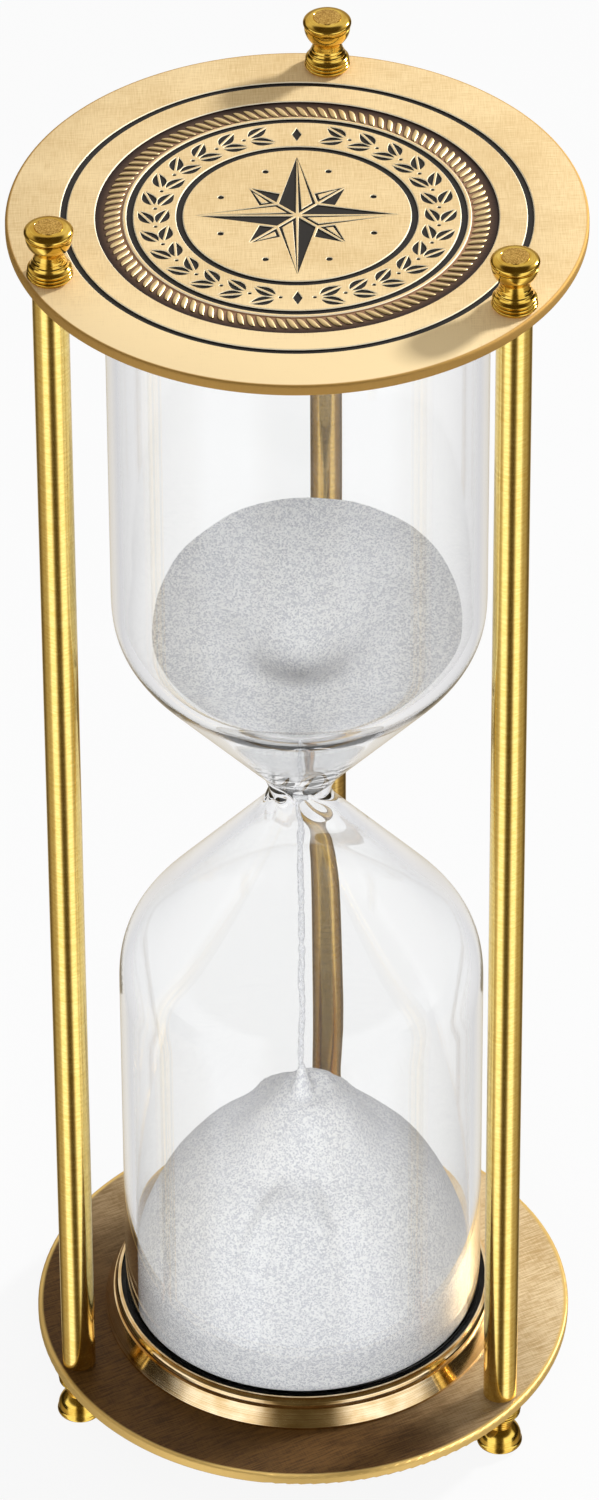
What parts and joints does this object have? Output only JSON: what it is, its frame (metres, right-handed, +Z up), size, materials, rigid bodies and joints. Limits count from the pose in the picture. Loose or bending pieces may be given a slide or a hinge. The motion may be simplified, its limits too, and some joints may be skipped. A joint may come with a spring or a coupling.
{
  "type": "hourglass",
  "caption": "Hourglass: a blown glass double bulb with white sand, held between two round engraved brass plates by rods with screw-on turned finials and feet.",
  "frame": {"origin": "on the axis, at the level of the feet's resting faces", "axes": "+Z up along the glass axis; one rod stands on the +Y side, the other two are towards -Y"},
  "size_m": [0.12, 0.12, 0.325],
  "materials": {
    "brass": "brushed antique brass",
    "polished_brass": "turned and polished",
    "steel": "plain threaded",
    "rubber": "matt black",
    "felt": "black felt",
    "glass": "clear blown glass",
    "sand": "fine white sand"
  },
  "bodies": {
    "frame": {"top_plate": "brass", "bottom_plate": "brass", "top_collar": "brass", "bottom_collar": "brass", "rod_back": "brass", "rod_left": "brass", "rod_right": "brass", "top_gasket": "rubber", "bottom_gasket": "rubber", "top_cushion": "felt", "bottom_cushion": "felt", "glass_vessel": "glass", "sand_upper": "sand", "sand_stream": "sand", "sand_lower": "sand"},
    "finial_back_screw": {"top_stud_back": "steel"},
    "finial_back_knob": {"finial_back": "polished_brass"},
    "finial_left_screw": {"top_stud_left": "steel"},
    "finial_left_knob": {"finial_left": "polished_brass"},
    "finial_right_screw": {"top_stud_right": "steel"},
    "finial_right_knob": {"finial_right": "polished_brass"},
    "foot_back_screw": {"bottom_stud_back": "steel"},
    "foot_back_knob": {"foot_back": "polished_brass"},
    "foot_left_screw": {"bottom_stud_left": "steel"},
    "foot_left_knob": {"foot_left": "polished_brass"},
    "foot_right_screw": {"bottom_stud_right": "steel"},
    "foot_right_knob": {"foot_right": "polished_brass"}
  },
  "joints": [
    {"name": "finial_back_travel", "type": "slide", "parent": "frame", "child": "finial_back_screw", "axis": [0, 0, 1], "range_m": [0, 0.007]},
    {"name": "finial_back_turn", "type": "hinge", "parent": "finial_back_screw", "child": "finial_back_knob", "pos_m": [0, 0.0548, 0.3125], "axis": [0, 0, 1], "range_deg": [0, 3600]},
    {"name": "finial_left_travel", "type": "slide", "parent": "frame", "child": "finial_left_screw", "axis": [0, 0, 1], "range_m": [0, 0.007]},
    {"name": "finial_left_turn", "type": "hinge", "parent": "finial_left_screw", "child": "finial_left_knob", "pos_m": [-0.04746, -0.0274, 0.3125], "axis": [0, 0, 1], "range_deg": [0, 3600]},
    {"name": "finial_right_travel", "type": "slide", "parent": "frame", "child": "finial_right_screw", "axis": [0, 0, 1], "range_m": [0, 0.007]},
    {"name": "finial_right_turn", "type": "hinge", "parent": "finial_right_screw", "child": "finial_right_knob", "pos_m": [0.04746, -0.0274, 0.3125], "axis": [0, 0, 1], "range_deg": [0, 3600]},
    {"name": "foot_back_travel", "type": "slide", "parent": "frame", "child": "foot_back_screw", "axis": [0, 0, -1], "range_m": [0, 0.007]},
    {"name": "foot_back_turn", "type": "hinge", "parent": "foot_back_screw", "child": "foot_back_knob", "pos_m": [0, 0.0548, 0.0125], "axis": [0, 0, -1], "range_deg": [0, 3600]},
    {"name": "foot_left_travel", "type": "slide", "parent": "frame", "child": "foot_left_screw", "axis": [0, 0, -1], "range_m": [0, 0.007]},
    {"name": "foot_left_turn", "type": "hinge", "parent": "foot_left_screw", "child": "foot_left_knob", "pos_m": [-0.04746, -0.0274, 0.0125], "axis": [0, 0, -1], "range_deg": [0, 3600]},
    {"name": "foot_right_travel", "type": "slide", "parent": "frame", "child": "foot_right_screw", "axis": [0, 0, -1], "range_m": [0, 0.007]},
    {"name": "foot_right_turn", "type": "hinge", "parent": "foot_right_screw", "child": "foot_right_knob", "pos_m": [0.04746, -0.0274, 0.0125], "axis": [0, 0, -1], "range_deg": [0, 3600]}
  ],
  "couplings": [
    {"joint": "finial_back_turn", "follows": "finial_back_travel", "rad_per_m": 8976},
    {"joint": "finial_left_turn", "follows": "finial_left_travel", "rad_per_m": 8976},
    {"joint": "finial_right_turn", "follows": "finial_right_travel", "rad_per_m": 8976},
    {"joint": "foot_back_turn", "follows": "foot_back_travel", "rad_per_m": 8976},
    {"joint": "foot_left_turn", "follows": "foot_left_travel", "rad_per_m": 8976},
    {"joint": "foot_right_turn", "follows": "foot_right_travel", "rad_per_m": 8976}
  ]
}
